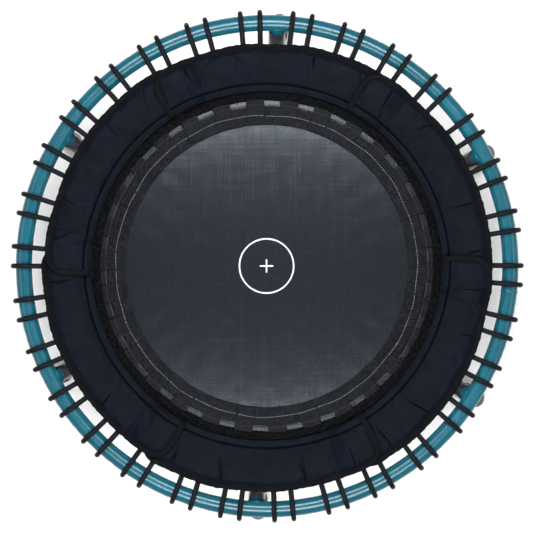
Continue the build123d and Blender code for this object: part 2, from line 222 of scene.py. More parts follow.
def make_studio():
    centre = (0, 0, RING_Z)
    soft_box("box_far", (0, 0.78, 1.8), centre, (1.1, 0.34), 37)
    soft_box("box_near", (0, -0.84, 1.8), centre, (1.1, 0.34), 33)
    soft_box("box_left", (-2.0, 0, 1.7), (-0.6, 0, 0), (1.0, 2.4), 16)
    soft_box("box_right", (2.0, 0, 1.7), (0.6, 0, 0), (1.0, 2.4), 16)
    scene.world = make_surroundings()
    scene.view_settings.view_transform = "Standard"

    mesh = bpy.data.meshes.new("floor")
    reach = 12.0
    corners = [(-reach, -reach, 0), (reach, -reach, 0), (reach, reach, 0), (-reach, reach, 0)]
    mesh.from_pydata(corners, [], [(0, 1, 2, 3)])
    floor = bpy.data.objects.new("floor", mesh)
    scene.collection.objects.link(floor)
    paper = Finish("studio_paper", colour=(0.98, 0.98, 0.98), roughness=0.9, specular=0.1)
    grain = paper.noise(40.0, 3.0)
    paper.tint(grain, (0.97, 0.97, 0.97), (0.99, 0.99, 0.99))
    mesh.materials.append(paper.material)


# ---------------------------------------------------------------- materials
class Finish:
    """A procedural material built round one Principled shader, in object coordinates."""

    def __init__(self, name, colour, roughness, metallic=0.0, specular=0.5):
        self.material = bpy.data.materials.new(name)
        self.material.use_nodes = True
        self.material.diffuse_color = (*colour, 1)
        self.tree = self.material.node_tree
        self.shader = self.tree.nodes["Principled BSDF"]
        self.set("Base Color", (*colour, 1))
        self.set("Roughness", roughness)
        self.set("Metallic", metallic)
        self.set("Specular IOR Level", specular)
        self.place = self.add("ShaderNodeTexCoord").outputs["Object"]

    def add(self, kind, **settings):
        node = self.tree.nodes.new(kind)
        for key, value in settings.items():
            setattr(node, key, value)
        return node

    def set(self, socket, value):
        self.shader.inputs[socket].default_value = value

    def link(self, source, target):
        self.tree.links.new(source, target)

    def feed(self, socket, value):
        """Puts a number or another node's output into a socket."""
        if isinstance(value, (int, float, tuple)):
            socket.default_value = value
        else:
            self.link(value, socket)

    def math(self, operation, first, second=0.0):
        node = self.add("ShaderNodeMath", operation=operation)
        self.feed(node.inputs[0], first)
        self.feed(node.inputs[1], second)
        return node.outputs[0]

    def times(self, first, second):
        return self.math("MULTIPLY", first, second)

    def noise(self, scale, detail, vector=None, roughness=0.5):
        node = self.add("ShaderNodeTexNoise")
        self.link(vector or self.place, node.inputs["Vector"])
        node.inputs["Scale"].default_value = scale
        node.inputs["Detail"].default_value = detail
        node.inputs["Roughness"].default_value = roughness
        return node.outputs["Fac"]

    def spread(self, value, low, high, to_low=0.0, to_high=1.0):
        """Maps low..high on to another range, clamped."""
        node = self.add("ShaderNodeMapRange")
        self.link(value, node.inputs["Value"])
        for key, number in (("From Min", low), ("From Max", high), ("To Min", to_low), ("To Max", to_high)):
            node.inputs[key].default_value = number
        return node.outputs["Result"]

    def blend_colours(self, share, first, second):
        node = self.add("ShaderNodeMix", data_type="RGBA")
        self.feed(node.inputs["Factor"], share)
        for key, colour in (("A", first), ("B", second)):
            socket = next(s for s in node.inputs if s.name == key and s.type == "RGBA")
            self.feed(socket, (*colour, 1) if isinstance(colour, tuple) else colour)
        return next(s for s in node.outputs if s.type == "RGBA")

    def tint(self, share, first, second):
        """Colours the surface between first and second."""
        colour = self.blend_colours(share, first, second)
        self.link(colour, self.shader.inputs["Base Color"])
        return colour

    def tint_more(self, colour, share, second):
        """Carries a colour on towards a further one."""
        mixed = self.blend_colours(share, colour, second)
        self.link(mixed, self.shader.inputs["Base Color"])
        return mixed

    def shine(self, share, low, high):
        """Varies the roughness between low and high."""
        self.link(self.spread(share, 0, 1, low, high), self.shader.inputs["Roughness"])

    def bump(self, height, depth, below=None):
        """Adds relief: height 0..1 stands for depth in metres."""
        node = self.add("ShaderNodeBump")
        self.feed(node.inputs["Height"], height)
        node.inputs["Distance"].default_value = depth
        node.inputs["Strength"].default_value = 1.0
        if below is not None:
            self.link(below, node.inputs["Normal"])
        self.link(node.outputs["Normal"], self.shader.inputs["Normal"])
        return node.outputs["Normal"]

    def axes(self):
        """x, y and z of the object coordinates."""
        split = self.add("ShaderNodeSeparateXYZ")
        self.link(self.place, split.inputs[0])
        return split.outputs[0], split.outputs[1], split.outputs[2]

    def stretched(self, scale):
        """The object coordinates, scaled by a different number each way."""
        node = self.add("ShaderNodeMapping", vector_type="POINT")
        self.link(self.place, node.inputs["Vector"])
        node.inputs["Scale"].default_value = scale
        return node.outputs["Vector"]

    def around(self, at_radius):
        """Radius from the middle axis, and the way round it measured at at_radius."""
        x, y, _ = self.axes()
        radius = self.math("SQRT", self.math("ADD", self.times(x, x), self.times(y, y)))
        turn = self.times(self.math("ARCTAN2", y, x), at_radius)
        return radius, turn

    def wave(self, value, period):
        """A 0..1 sine wave of the value."""
        turn = self.math("SINE", self.times(value, 2 * pi / period))
        return self.math("ADD", self.times(turn, 0.5), 0.5)

    def weave(self, first, second, period):
        """Plain weave: crossing yarns that pass over and under each other."""
        over_first = self.wave(first, period)
        over_second = self.wave(second, period)
        half_first = self.math("SINE", self.times(first, pi / period))
        half_second = self.math("SINE", self.times(second, pi / period))
        turn = self.times(half_first, half_second)
        side = self.spread(turn, -0.12, 0.12)
        node = self.add("ShaderNodeMix", data_type="FLOAT")
        self.link(side, node.inputs["Factor"])
        self.link(over_first, node.inputs[2])
        self.link(over_second, node.inputs[3])
        return node.outputs[0]


def teal_enamel():
    """Glossy powder coat on the ring: slight orange peel, and small lighter specks."""
    finish = Finish("teal_enamel", (0.0, 0.10, 0.145), 0.34, specular=0.18)
    finish.set("Coat Weight", 0.55)
    finish.set("Coat Roughness", 0.25)
    cloud = finish.noise(9.0, 3.0)
    colour = finish.tint(finish.spread(cloud, 0.3, 0.7), (0.0, 0.062, 0.090), (0.0003, 0.080, 0.116))
    specks = finish.spread(finish.noise(900.0, 1.0), 0.66, 0.72)
    finish.tint_more(colour, finish.times(specks, 0.25), (0.01, 0.20, 0.26))
    finish.shine(finish.spread(finish.noise(60.0, 4.0), 0.35, 0.75), 0.28, 0.46)
    finish.bump(finish.noise(420.0, 2.0), 0.00008)
    return finish.material


def leg_metal():
    """Dark silver tube, a metallic lacquer with fine flake and light scuffs."""
    finish = Finish("leg_metal", (0.060, 0.058, 0.070), 0.34, metallic=0.4)
    finish.set("Coat Weight", 0.4)
    finish.set("Coat Roughness", 0.12)
    flake = finish.noise(2600.0, 1.0)
    colour = finish.tint(finish.spread(flake, 0.35, 0.65), (0.045, 0.043, 0.053), (0.080, 0.077, 0.092))
    scuff = finish.spread(finish.noise(35.0, 6.0, roughness=0.7), 0.62, 0.75)
    finish.tint_more(colour, finish.times(scuff, 0.3), (0.20, 0.20, 0.21))
    finish.shine(finish.noise(120.0, 4.0), 0.2, 0.42)
    finish.bump(finish.noise(700.0, 2.0), 0.00004)
    return finish.material


def zinc():
    """Bright zinc plate on the bolts, washers and nuts."""
    finish = Finish("zinc_plate", (0.62, 0.62, 0.60), 0.32, metallic=1.0)
    spangle = finish.noise(500.0, 2.0)
    finish.tint(spangle, (0.50, 0.50, 0.49), (0.70, 0.69, 0.66))
    finish.shine(spangle, 0.22, 0.45)
    finish.bump(finish.noise(1500.0, 2.0), 0.00002)
    return finish.material


def foot_rubber():
    """Grey moulded rubber with a fine matt grain and dusty wear."""
    finish = Finish("foot_rubber", (0.11, 0.11, 0.12), 0.75, specular=0.35)
    dust = finish.spread(finish.noise(70.0, 5.0), 0.4, 0.75)
    colour = finish.tint(dust, (0.085, 0.085, 0.09), (0.15, 0.15, 0.155))
    _, _, z = finish.axes()
    scuffed = finish.spread(z, 0.0, 0.012, 0.5, 0.0)
    finish.tint_more(colour, scuffed, (0.24, 0.235, 0.225))
    finish.shine(dust, 0.6, 0.85)
    finish.bump(finish.noise(2200.0, 3.0), 0.00012)
    return finish.material


def clip_plastic():
    """Black moulded plastic with a spark-eroded texture."""
    finish = Finish("clip_plastic", (0.012, 0.012, 0.013), 0.5)
    grain = finish.noise(1800.0, 3.0)
    finish.tint(finish.noise(90.0, 3.0), (0.009, 0.009, 0.010), (0.020, 0.020, 0.022))
    finish.shine(grain, 0.42, 0.62)
    finish.bump(grain, 0.00008)
    return finish.material


def mat_weave():
    """The bed: flat plastic yarns in a plain weave, slightly glossy."""
    finish = Finish("mat_weave", (0.009, 0.0095, 0.012), 0.36, specular=0.5)
    x, y, _ = finish.axes()
    yarns = finish.weave(x, y, 0.0021)
    streak_x = finish.noise(1.0, 2.0, vector=finish.stretched((330.0, 9.0, 1.0)))
    streak_y = finish.noise(1.0, 2.0, vector=finish.stretched((9.0, 330.0, 1.0)))
    streaks = finish.times(finish.math("ADD", streak_x, streak_y), 0.5)
    colour = finish.tint(yarns, (0.0004, 0.0005, 0.0010), (0.0030, 0.0034, 0.0054))
    finish.tint_more(colour, finish.spread(streaks, 0.44, 0.58, 0.0, 0.9), (0.0080, 0.0090, 0.0135))
    finish.set("Specular Tint", (0.80, 0.88, 1.0, 1))
    finish.shine(finish.spread(streaks, 0.42, 0.58), 0.29, 0.225)
    finish.bump(yarns, 0.00003)
    return finish.material


def webbing(name, dark, light, period, specular=0.075, ribs=0.0):
    """Black webbing that runs round the mat, woven across and along, with speckle."""
    finish = Finish(name, light, 0.45, specular=specular)
    finish.set("Specular Tint", (0.80, 0.86, 1.0, 1))
    radius, turn = finish.around(BORDER_INNER)
    yarns = finish.weave(radius, turn, period)
    speckle = finish.spread(finish.noise(270.0, 3.0, roughness=0.7), 0.46, 0.60)
    fleck = finish.spread(finish.noise(1100.0, 2.0), 0.38, 0.66)
    share = finish.times(finish.math("MAXIMUM", yarns, fleck), speckle)
    colour = finish.tint(share, dark, light)
    worn = finish.spread(finish.noise(55.0, 4.0), 0.5, 0.8, 0.0, 0.35)
    finish.tint_more(colour, worn, tuple(0.4 * part for part in light))
    finish.shine(speckle, 0.36, 0.5)
    below = finish.bump(yarns, 0.0002)
    if ribs:
        finish.bump(finish.wave(radius, ribs), 0.0004, below)
    return finish.material


def thread(name, dark, light, specular=0.3):
    """Twisted sewing thread."""
    finish = Finish(name, light, 0.6, specular=specular)
    radius, turn = finish.around(BORDER_INNER)
    ply = finish.wave(finish.math("ADD", radius, turn), 0.0009)
    grime = finish.spread(finish.noise(160.0, 3.0), 0.35, 0.7)
    finish.tint(finish.times(ply, grime), dark, light)
    finish.shine(grime, 0.5, 0.7)
    finish.bump(ply, 0.00015)
    return finish.material


def skirt_fabric():
    """Coated navy-black fabric: a fine weave under a soft sheen, with creased shading."""
    finish = Finish("skirt_fabric", (0.0026, 0.0036, 0.0080), 0.5, specular=0.035)
    finish.set("Sheen Weight", 0.008)
    finish.set("Sheen Roughness", 0.45)
    finish.set("Sheen Tint", (0.45, 0.55, 0.8, 1))
    radius, turn = finish.around(PAD_OUTER)
    yarns = finish.weave(radius, turn, 0.0012)
    cloud = finish.spread(finish.noise(28.0, 5.0), 0.3, 0.7)
    colour = finish.tint(cloud, (0.0014, 0.0024, 0.0050), (0.0025, 0.0042, 0.0080))
    finish.tint_more(colour, finish.times(yarns, 0.35), (0.0040, 0.0061, 0.0108))
    finish.shine(finish.noise(180.0, 3.0), 0.44, 0.56)
    below = finish.bump(yarns, 0.00008)
    finish.bump(finish.noise(55.0, 4.0), 0.0009, below)
    return finish.material


def binding_tape():
    """Black folded tape with cross ribs, a little greyer than the skirt."""
    finish = Finish("binding_tape", (0.006, 0.006, 0.007), 0.66, specular=0.06)
    finish.set("Specular Tint", (0.82, 0.87, 1.0, 1))
    _, turn = finish.around(PAD_OUTER)
    ribs = finish.wave(turn, 0.0016)
    fuzz = finish.spread(finish.noise(900.0, 3.0), 0.3, 0.7)
    raised = finish.times(ribs, fuzz)
    colour = finish.tint(raised, (0.0012, 0.0012, 0.0014), (0.0064, 0.0062, 0.0070))
    worn = finish.spread(finish.noise(45.0, 4.0), 0.55, 0.8, 0, 0.3)
    finish.tint_more(colour, worn, (0.0125, 0.0115, 0.0120))
    finish.shine(fuzz, 0.58, 0.8)
    finish.bump(ribs, 0.00018)
    return finish.material


def cord_braid():
    """Braided sleeve: two sets of strands that wind round the cord opposite ways."""
    finish = Finish("cord_braid", (0.006, 0.006, 0.0075), 0.55, specular=0.14)
    finish.set("Specular Tint", (0.80, 0.86, 1.0, 1))
    split = finish.add("ShaderNodeSeparateXYZ")
    own = finish.add("ShaderNodeUVMap", uv_map="tube")
    finish.link(own.outputs["UV"], split.inputs[0])
    around, along = split.outputs[0], split.outputs[1]
    turn = finish.times(around, 8.0)
    run = finish.times(along, 1 / 0.009)
    one_way = finish.wave(finish.math("ADD", turn, run), 1.0)
    other_way = finish.wave(finish.math("SUBTRACT", turn, run), 1.0)
    strands = finish.math("MAXIMUM", one_way, other_way)
    fuzz = finish.spread(finish.noise(1400.0, 2.0), 0.35, 0.7)
    colour = finish.tint(strands, (0.0006, 0.0006, 0.0008), (0.0036, 0.0036, 0.0048))
    finish.tint_more(colour, finish.times(fuzz, 0.25), (0.0085, 0.0085, 0.0110))
    finish.shine(fuzz, 0.45, 0.68)
    finish.bump(strands, 0.0005)
    return finish.material


def strap_elastic():
    """Flat black elastic with lengthwise ribs."""
    finish = Finish("strap_elastic", (0.010, 0.010, 0.011), 0.7, specular=0.3)
    radius, _ = finish.around(PAD_OUTER)
    ribs = finish.wave(radius, 0.0014)
    finish.tint(ribs, (0.005, 0.005, 0.006), (0.018, 0.018, 0.020))
    finish.shine(finish.noise(300.0, 3.0), 0.6, 0.8)
    finish.bump(ribs, 0.0002)
    return finish.material


def mark_print():
    """White screen print, worn thin over the yarns of the mat."""
    finish = Finish("mark_print", (0.6, 0.6, 0.6), 0.55, specular=0.4)
    x, y, _ = finish.axes()
    yarns = finish.weave(x, y, 0.0021)
    wear = finish.spread(finish.noise(90.0, 5.0), 0.35, 0.7)
    colour = finish.tint(yarns, (0.42, 0.42, 0.43), (0.78, 0.78, 0.77))
    finish.tint_more(colour, finish.times(wear, 0.25), (0.30, 0.30, 0.31))
    finish.shine(wear, 0.45, 0.65)
    finish.bump(yarns, 0.0001)
    return finish.material


# ---------------------------------------------------------------- mesh building
def make_piece(name, points, faces, material, sharp):
    """A smooth-shaded mesh object whose faces look outwards."""
    mesh = bpy.data.meshes.new(name)
    mesh.from_pydata(np.asarray(points).reshape(-1, 3).tolist(), [], faces)
    shell = bmesh.new()
    shell.from_mesh(mesh)
    bmesh.ops.recalc_face_normals(shell, faces=shell.faces)
    shell.to_mesh(mesh)
    shell.free()
    mesh.shade_smooth()
    mesh.set_sharp_from_angle(angle=radians(sharp))
    mesh.materials.append(material)
    piece = bpy.data.objects.new(name, mesh)
    scene.collection.objects.link(piece)
    return piece


def skin_faces(count, around, first, closed_path=False):
    """Faces over count rings of `around` points each."""
    faces = []
    for ring in range(count if closed_path else count - 1):
        here = first + ring * around
        there = first + (ring + 1) % count * around
        for step in range(around):
            after = (step + 1) % around
            faces.append((here + step, here + after, there + after, there + step))
    if not closed_path:
        last = first + (count - 1) * around
        faces.append(tuple(range(first + around - 1, first - 1, -1)))
        faces.append(tuple(range(last, last + around)))
    return faces


def join_rings(parts, closed_path=False):
    """Points and faces of several skins, each an array (rings, points around, 3)."""
    points, faces, first = [], [], 0
    for rings in parts:
        count, around, _ = rings.shape
        points.append(rings.reshape(-1, 3))
        faces += skin_faces(count, around, first, closed_path)
        first += count * around
    return np.concatenate(points), faces


def move_points(mesh, points):
    mesh.vertices.foreach_set("co", np.asarray(points, dtype=np.float32).ravel())
    mesh.update()


def cord_share(radius):
    """How far a point over the cords goes with the mat: 0 at the ring, 1 at the clips."""
    return np.clip((UPPER_TANGENT - radius) / (UPPER_TANGENT - CLIP_OUTER), 0, 1)


def blend_by(piece, shares):
    """Works out a share for each point between the frame and the mat and lays it in the points, bakes in the
    object's transform, then puts the true points back, so the shares are not kept.
    """
    mesh = piece.data
    true_points = coordinates(mesh)
    laid = np.zeros_like(true_points)
    laid[:, 0] = 0.5 - np.sin(np.arcsin(1 - 2 * np.clip(shares, 0, 1)) / 3)
    move_points(mesh, laid)
    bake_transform(piece)
    move_points(mesh, true_points)


def blend_over_cords(piece):
    points = coordinates(piece.data)
    blend_by(piece, cord_share(np.hypot(points[:, 0], points[:, 1])))


def soft_noise(count, waves, seeded):
    """A smooth closed random curve of about unit size, with the given numbers of waves."""
    turn = whole_turn(count)
    total = sum(np.cos(wave * turn + seeded.uniform(0, 2 * pi)) for wave in waves)
    return total / sqrt(len(waves))


def loose(values, seeded):
    """A function of position in metres: smooth noise made of waves of the given lengths."""
    phases = seeded.uniform(0, 2 * pi, len(values))
    return lambda place: sum(
        np.sin(2 * pi * np.asarray(place) / length + phase) for length, phase in zip(values, phases)
    ) / sqrt(len(values))


# ---------------------------------------------------------------- ring, legs and feet
def weld_rings(place, axis_u, axis_v, height, bead, count=72, ripples=26):
    """Rings of a rippled bead round a tube; place gives its centre line for each angle."""
    rings = []
    for index in range(count):
        angle = 2 * pi * index / count
        centre = place(angle)
        out = cos(angle) * axis_u + sin(angle) * axis_v
        size = bead * (1 + 0.16 * sin(ripples * angle) + 0.05 * sin(5 * angle + 1))
        turns = whole_turn(8)
        rings.append([centre + size * (cos(t) * out + sin(t) * height) for t in turns])
    return np.array(rings)


def make_ring_weld(material):
    """The butt weld that closes the ring, dressed flat and painted over."""
    outward, along = directions(radians(RING_WELD_AZIMUTH))
    middle = RING_RADIUS * outward + RING_Z * UP

    def place(angle):
        return middle + (TUBE_RADIUS - 0.0003) * (cos(angle) * outward + sin(angle) * UP)

    rings = weld_rings(place, outward, UP, 2.2 * along, 0.0011, count=96, ripples=31)
    points, faces = join_rings([rings], closed_path=True)
    weld = make_piece("ring_weld", points, faces, material, sharp=80)
    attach(weld, "frame")


def make_stub_welds(material):
    """A fillet bead round each stub, where it meets the ring."""
    parts = []
    for azimuth in map(radians, LEG_AZIMUTHS):
        outward, along = directions(azimuth)
        way = -cos(STUB_SLOPE) * outward - sin(STUB_SLOPE) * UP
        side = sin(STUB_SLOPE) * outward - cos(STUB_SLOPE) * UP
        middle = RING_RADIUS * outward + RING_Z * UP

        def place(angle):
            across = STUB_RADIUS * sin(angle)
            run = sqrt(TUBE_RADIUS**2 - across**2)
            return middle + run * way + STUB_RADIUS * cos(angle) * along + across * side

        parts.append(weld_rings(place, along, side, way, 0.0021))
    points, faces = join_rings(parts, closed_path=True)
    welds = make_piece("stub_welds", points, faces, material, sharp=80)
    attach(welds, "frame")


def boot_profile():
    """The boot's section: distance along its axis from the foot's centre, and radius."""
    dome = [(FOOT_RADIUS * sin(t), FOOT_RADIUS * cos(t)) for t in np.linspace(pi / 2, 0, 16)]
    side = []
    for start in (-0.009, -0.016, -0.023, -0.030):
        side += [(start, FOOT_RADIUS), (start - 0.0008, FOOT_RADIUS - 0.0002)]
        side += [(start - 0.0014, FOOT_RADIUS - 0.0014), (start - 0.0026, FOOT_RADIUS - 0.0014)]
        side += [(start - 0.0032, FOOT_RADIUS - 0.0002)]
    rim = -FOOT_LENGTH
    side += [(-0.0365, FOOT_RADIUS), (rim + 0.0030, FOOT_RADIUS), (rim + 0.0012, FOOT_RADIUS - 0.0003)]
    side += [(rim + 0.0003, FOOT_RADIUS - 0.0011), (rim, FOOT_RADIUS - 0.0020)]
    bore = 0.0161
    side += [(rim, bore + 0.0006), (rim + 0.0008, bore), (-0.0040, bore), (-0.0040, 0.0001)]
    return dome + side


def make_boot(number, azimuth, material):
    """A ribbed rubber boot over the leg's end, worn flat where it stands."""
    outward, along = directions(azimuth)
    way = cos(FOOT_SLOPE) * outward - sin(FOOT_SLOPE) * UP
    side = sin(FOOT_SLOPE) * outward + cos(FOOT_SLOPE) * UP
    centre = (FOOT_OUTER - FOOT_RADIUS) * outward + FOOT_CENTRE_Z * UP
    turns = whole_turn(64)
    rings = []
    for run, radius in boot_profile():
        ring = [centre + run * way + max(radius, 0.0001) * (cos(t) * along + sin(t) * side) for t in turns]
        rings.append(ring)
    rings = np.array(rings)
    rings[..., 2] = np.maximum(rings[..., 2], 0.0)
    points, faces = join_rings([rings])
    boot = make_piece(f"foot_boot_{number}", points, faces, material, sharp=38)
    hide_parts(f"foot_{number}")
    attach(boot, "frame")


# ---------------------------------------------------------------- elastic cords
def shifted(azimuth, slide, radius):
    """Azimuth of a cord's middle at a radius: true at the clip, slid at the ring."""
    share = np.clip((np.asarray(radius) - CLIP_OUTER) / (RING_RADIUS - CLIP_OUTER), 0, 1)
    return azimuth + slide * share * CLIP_OUTER / np.maximum(radius, CLIP_OUTER)


def cord_centre_line():
    """Radius, side angle and height along one cord, from its first end to its second."""
    lower_run = np.linspace(CORD_END, LOWER_TANGENT, 16)
    lower = [(radius, STRAND_ANGLE, lower_height(radius)) for radius in lower_run]
    start = -pi / 2 - LOWER_SLOPE
    turn = pi + LOWER_SLOPE + UPPER_SLOPE
    wrap = []
    for share in np.linspace(0, 1, 22)[1:-1]:
        angle = start + share * turn
        wrap.append((RING_RADIUS + WRAP_RADIUS * cos(angle), STRAND_ANGLE, RING_Z + WRAP_RADIUS * sin(angle)))
    slant = sqrt(cos(STRAND_ANGLE)**2 + tan(UPPER_SLOPE)**2)
    plane_angle = atan(sin(STRAND_ANGLE) / slant)
    bight_start = POST_CENTRE * cos(plane_angle)**2
    upper_run = np.linspace(UPPER_TANGENT, bight_start, 20)
    upper = [(radius, STRAND_ANGLE, upper_height(radius)) for radius in upper_run]
    half = lower + wrap + upper

    # The bight: from tangent to tangent round the post, in the strands' tilted plane
    post_side = POST_CENTRE * slant * sin(plane_angle)
    bight = []
    for angle in np.linspace(pi / 2 - plane_angle, -pi / 2 + plane_angle, 17)[1:-1]:
        radial = POST_CENTRE - post_side * cos(angle) / slant
        across = post_side * sin(angle)
        bight.append((np.hypot(radial, across), np.arctan2(across, radial), upper_height(radial)))
    back = [(radius, -angle, height) for radius, angle, height in reversed(half)]
    return np.array(half + bight + back)


def tube_rings(line, radius, around):
    """Rings round a centre line, kept from twisting, and the run to each ring."""
    ahead = np.gradient(line, axis=0)
    ahead /= np.linalg.norm(ahead, axis=1)[:, None]
    side = np.cross(ahead[0], (0, 0, 1.0))
    turns = whole_turn(around)
    rings = []
    for centre, way in zip(line, ahead):
        side = side - way * np.dot(side, way)
        side /= np.linalg.norm(side)
        up = np.cross(way, side)
        rings.append(centre + radius * (np.outer(np.cos(turns), side) + np.outer(np.sin(turns), up)))
    steps = np.linalg.norm(np.diff(line, axis=0), axis=1)
    return np.array(rings), np.concatenate([[0], np.cumsum(steps)])


def add_tube_map(mesh, around, run):
    """The cord's own map: once round in U, and metres along it in V."""
    layer = mesh.uv_layers.new(name="tube")
    values = np.zeros((len(mesh.loops), 2))
    for polygon in mesh.polygons:
        corners = [mesh.loops[loop].vertex_index for loop in polygon.loop_indices]
        steps = [corner % around for corner in corners]
        wraps = len(corners) == 4 and max(steps) - min(steps) > 1
        for loop, corner, step in zip(polygon.loop_indices, corners, steps):
            turned = around if wraps and step == 0 else step
            values[loop] = (turned / around, run[corner // around])
    layer.data.foreach_set("uv", values.ravel())


def make_cord(index, azimuth, centre_line, material):
    radius, angle, height = centre_line.T
    middle = shifted(azimuth, CORD_SLIDES[index], radius)
    splay = 1 + CORD_SPLAYS[index] * np.clip((radius - CLIP_OUTER) / (RING_RADIUS - CLIP_OUTER), 0, 1)
    line = polar(radius, middle + angle * splay, height)
    around = 12
    rings, run = tube_rings(line, CORD_RADIUS, around)
    points, faces = join_rings([rings])
    cord = make_piece(f"elastic_cord_{index + 1}", points, faces, material, sharp=60)
    add_tube_map(cord.data, around, run)
    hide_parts(f"elastic_cords_{index // 5 + 1}")
    blend_over_cords(cord)


def strap_outlines(index, run):
    """A strap's outlines round both strands of a cord, inside and outside, at a place across it."""
    radius = STRAP_CENTRE + run * cos(UPPER_SLOPE)
    middle = float(shifted(radians(CORD_AZIMUTHS[index]), CORD_SLIDES[index], radius))
    thin = 0.0005 if abs(run) == STRAP_HALF_WIDTH else STRAP_THICKNESS
    inner = CORD_RADIUS + 0.0003 + (STRAP_THICKNESS - thin) / 2
    turns = whole_turn(STRAP_SIDES)
    strand = np.where(np.cos(turns) > 0, 1, -1) * radius * sin(STRAND_ANGLE)
    outlines = []
    for reach in (inner, inner + thin):
        across = strand + reach * np.cos(turns)
        outlines.append(polar(radius, middle + across / radius, upper_height(radius) + reach * np.sin(turns)))
    return outlines


def make_straps(number, material):
    """Elastic bands that hold the skirt to the cords: closed loops round both strands."""
    runs = (-STRAP_HALF_WIDTH, -0.0072, -0.0035, 0.0, 0.0035, 0.0072, STRAP_HALF_WIDTH)
    bands = []
    for within in STRAPPED_CORDS:
        inside, outside = zip(*(strap_outlines((number - 1) * 5 + within, run) for run in runs))
        bands.append(np.stack(inside + outside[::-1], axis=1))
    points, faces = join_rings(bands, closed_path=True)
    straps = make_piece(f"skirt_straps_{number}", points, faces, material, sharp=45)
    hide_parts("skirt_straps")
    blend_over_cords(straps)


# ---------------------------------------------------------------- mat
def mat_dish(radius):
    """The slight hollow that the bed has been jumped into."""
    return -0.0016 * (1 - smooth(radius, 0.0, BORDER_INNER))


def make_bed(material):
    """The woven bed, a thin stretched sheet."""
    sides = 192
    radii = np.concatenate([[0.004], np.linspace(0.016, BED_RADIUS - 0.001, 44), [BED_RADIUS]])
    turn = whole_turn(sides)
    grid_radius, grid_turn = np.meshgrid(radii, turn, indexing="ij")
    ripple = loose((0.071, 0.113, 0.047), rng)
    pull = np.cos(15 * (grid_turn + radians(2.0)))**2
    sway = 0.00008 * ripple(grid_radius * np.cos(grid_turn)) * ripple(grid_radius * np.sin(grid_turn) + 0.3)
    sway *= smooth(grid_radius, 0.06, 0.12)
    sway += 0.00022 * pull * smooth(grid_radius, 0.15, 0.26)
    sway *= 1 - smooth(grid_radius, 0.262, BORDER_INNER)
    level = mat_dish(grid_radius) + sway
    top = polar(grid_radius, grid_turn, BED_TOP + level)
    bottom = polar(grid_radius, grid_turn, BED_BOTTOM + level)
    rings = np.concatenate([top, bottom[::-1]])
    points, faces = join_rings([rings])
    bed = make_piece("mat_bed_weave", points, faces, material, sharp=60)
    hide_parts("mat_bed")
    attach(bed, "mat")
    mark = make_mark()


def make_mark():
    """A plain printed target in the middle of the mat: a thin ring and a small cross."""
    material = mark_print()
    low, high = -0.00005, 0.00012
    turn = whole_turn(128)
    loop = []
    for radius, height in ((0.0520, low), (0.0521, high), (0.0549, high), (0.0550, low)):
        loop.append(polar(radius, turn, BED_TOP + mat_dish(radius) + height))
    ring = np.stack(loop, axis=1)
    points, faces = join_rings([ring], closed_path=True)
    first = len(points)
    arm, half = 0.013, 0.0014
    outline = []
    for quarter in range(4):
        for x, y in ((half, arm), (-half, arm), (-half, half)):
            angle = quarter * pi / 2
            outline.append((x * cos(angle) - y * sin(angle), x * sin(angle) + y * cos(angle)))
    level = BED_TOP + mat_dish(0.0)
    cross = [[(x, y, level + height) for x, y in outline] for height in (low, high)]
    points = np.concatenate([points, np.array(cross).reshape(-1, 3)])
    faces += skin_faces(2, len(outline), first)
    mark = make_piece("mat_mark", points, faces, material, sharp=50)
    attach(mark, "mat")
    return mark


def border_wave(turn):
    """Height of the sewn webbing's slight puckers round the mat."""
    return 0.00016 * np.sin(60 * turn + 0.7) + 0.0001 * np.sin(97 * turn) + 0.00008 * np.sin(143 * turn + 2)


def webbing_ring(name, inner, outer, bottom, top, material, pucker=1.0):
    """A flat woven band round the mat, with rolled edges and sewn-in puckers."""
    sides = 480
    turn = whole_turn(sides)
    edge = (top - bottom) / 2
    sway = 0.0004 * soft_noise(sides, (7, 13, 31, 44), rng)
    section = [(inner + edge * 0.5, bottom), (inner + 0.0001, bottom + edge * 0.6), (inner, bottom + edge)]
    section += [(inner + 0.0002, top - edge * 0.4), (inner + edge, top)]
    section += [(radius, top) for radius in np.linspace(inner + 0.004, outer - 0.004, 6)]
    section += [(outer - edge, top), (outer - 0.0002, top - edge * 0.4), (outer, bottom + edge)]
    section += [(outer - 0.0001, bottom + edge * 0.6), (outer - edge * 0.5, bottom)]
    loop = []
    for radius, height in section:
        share = (height - bottom) / (top - bottom)
        loop.append(polar(radius + sway, turn, height + pucker * share * border_wave(turn)))
    points, faces = join_rings([np.stack(loop, axis=1)], closed_path=True)
    return make_piece(name, points, faces, material, sharp=60)


def make_shade_rim(material):
    """The bed's own fabric under the tabs, seen between them, from the border to the hoop: a sheet laid
    across the gaps between tabs, where under the mat there is only shade, so it paints that shade.
    """
    bottom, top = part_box("mat_rim")[0][2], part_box("mat_rim")[1][2]
    inner, outer = radial_span("mat_rim")
    rim = webbing_ring("mat_rim_painted_shade", inner, outer, bottom, top, material, pucker=0.15)
    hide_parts("mat_rim")
    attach(rim, "mat")


def make_mat_webbing():
    band = webbing("border_webbing", (0.0003, 0.0003, 0.0005), (0.0150, 0.0158, 0.0205), 0.0019)
    border = webbing_ring("mat_border_webbing", BORDER_INNER, BORDER_OUTER, BED_TOP, BORDER_TOP, band)
    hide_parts("mat_border_top")
    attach(border, "mat")
    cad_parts["mat_border_back"].data.materials.clear()
    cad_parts["mat_border_back"].data.materials.append(band)

    dark = webbing("hoop_webbing", (0.0003, 0.0003, 0.0004), (0.0095, 0.0091, 0.0106), 0.0016,
                   specular=0.022, ribs=0.0032)
    hoop = webbing_ring("mat_hoop_webbing", HOOP_INNER, HOOP_OUTER, HOOP_BOTTOM, HOOP_TOP, dark)
    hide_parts("mat_hoop")
    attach(hoop, "mat")


